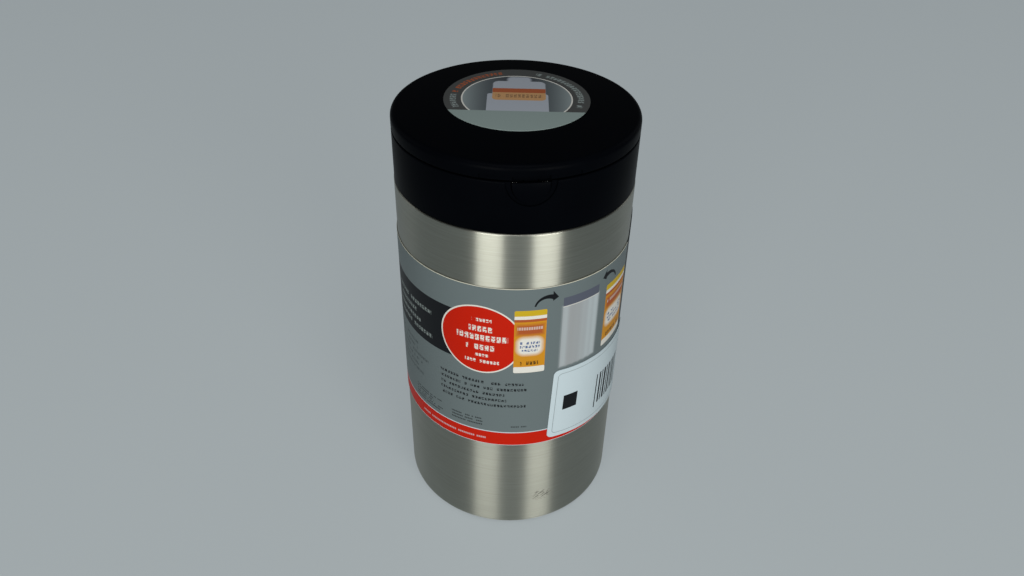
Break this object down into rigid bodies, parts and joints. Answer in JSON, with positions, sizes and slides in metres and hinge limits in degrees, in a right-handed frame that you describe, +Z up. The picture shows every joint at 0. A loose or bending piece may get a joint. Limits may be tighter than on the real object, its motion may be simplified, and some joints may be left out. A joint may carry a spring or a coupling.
{
  "type": "wipes canister",
  "caption": "Tall round steel canister that holds a tub of wipes, with a black collar, a push button and a flip lid hinged at the back.",
  "frame": {"origin": "centre of the underside of the base pad, on the can's axis", "axes": "+Z up along the can's axis, -Y towards the push button, +Y towards the hinge"},
  "size_m": [0.123, 0.1283, 0.2403],
  "materials": {
    "steel": "brushed round the can",
    "spring_wire": "plain drawn wire",
    "black_plastic": "satin moulded",
    "black_foot": "matt",
    "wrap_print": "printed coated paper",
    "white_print": "white coated paper",
    "lid_print": "printed coated paper"
  },
  "bodies": {
    "canister": {"steel_body": "steel", "base_pad": "black_foot", "collar": "black_plastic", "latch_cover": "black_plastic", "latch_screw_left": "spring_wire", "latch_screw_right": "spring_wire", "button_spring_left": "spring_wire", "button_spring_right": "spring_wire", "hinge_pin": "spring_wire", "hinge_spring_left": "spring_wire", "hinge_spring_right": "spring_wire", "wrap_label": "wrap_print", "barcode_sticker": "white_print"},
    "lid": {"lid_shell": "black_plastic", "lid_inner_panel": "black_plastic", "lid_label": "lid_print"},
    "button": {"push_button": "black_plastic"}
  },
  "joints": [
    {"name": "lid_hinge", "type": "hinge", "parent": "canister", "child": "lid", "pos_m": [0, 0.064, 0.23215], "axis": [-1, 0, 0], "range_deg": [0, 100], "deforming": ["hinge_spring_left", "hinge_spring_right"]},
    {"name": "button_press", "type": "slide", "parent": "canister", "child": "button", "axis": [0, 1, 0], "range_m": [0, 0.0012], "stiffness_N_per_m": 400, "springref_m": -0.0005, "deforming": ["button_spring_left", "button_spring_right"]}
  ]
}
